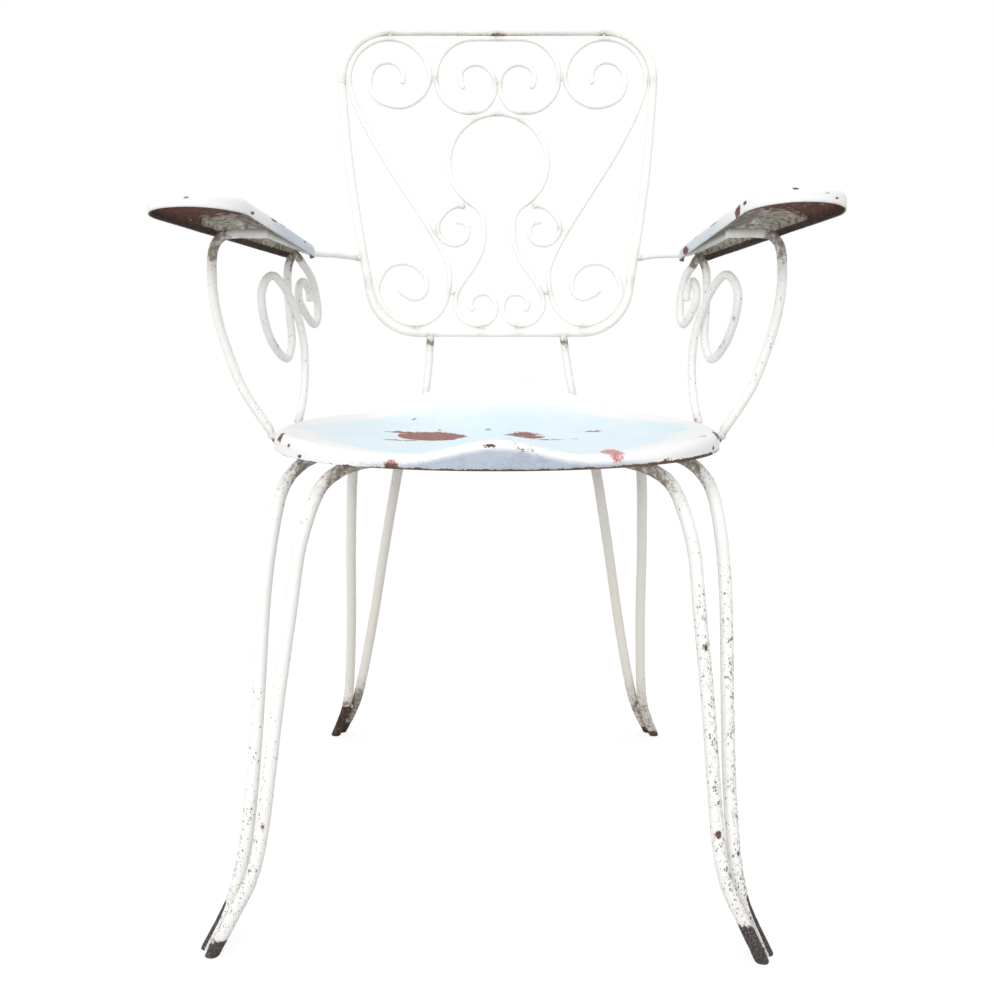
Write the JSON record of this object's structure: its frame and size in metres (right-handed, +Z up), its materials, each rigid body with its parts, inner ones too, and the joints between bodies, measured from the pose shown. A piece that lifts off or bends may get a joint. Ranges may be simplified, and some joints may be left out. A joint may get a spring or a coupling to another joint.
{
  "type": "wrought metal garden armchair",
  "caption": "Old painted metal garden armchair: pressed bucket seat, pressed arm pads, bent rod legs and a scrollwork back, with peeling paint and rust.",
  "frame": {"origin": "on the floor, in the middle of the overall box seen from above", "axes": "+Z up, the chair faces -Y, +X to the right for someone who looks at its front"},
  "size_m": [0.5898, 0.4984, 0.889],
  "materials": {
    "rod_paint": "old off-white paint with pitting, chips and rust",
    "arm_paint": "old off-white paint with chips and rust at the welds",
    "back_paint": "old cream-white paint, dirty at the welds",
    "seat_paint": "old pale blue-white paint, flaked to rust in patches",
    "pad_paint": "old white paint, flaked to rust along the edges"
  },
  "bodies": {
    "root": {"front_leg_left_outer": "rod_paint", "front_leg_left_inner": "rod_paint", "front_leg_right_outer": "rod_paint", "front_leg_right_inner": "rod_paint", "rear_leg_left_outer": "rod_paint", "rear_leg_left_inner": "rod_paint", "rear_leg_right_outer": "rod_paint", "rear_leg_right_inner": "rod_paint", "arm_support_left": "arm_paint", "arm_support_right": "arm_paint", "arm_scroll_left": "arm_paint", "arm_scroll_right": "arm_paint", "arm_rail_left": "arm_paint", "arm_rail_right": "arm_paint", "back_frame": "back_paint", "back_post_left": "back_paint", "back_post_right": "back_paint", "corner_scroll_left": "back_paint", "corner_scroll_right": "back_paint", "top_scroll": "back_paint", "keyhole_scroll": "back_paint", "neck_curl_left": "back_paint", "neck_curl_right": "back_paint", "seat_pan": "seat_paint", "arm_pad_left": "pad_paint", "arm_pad_right": "pad_paint"}
  },
  "joints": []
}
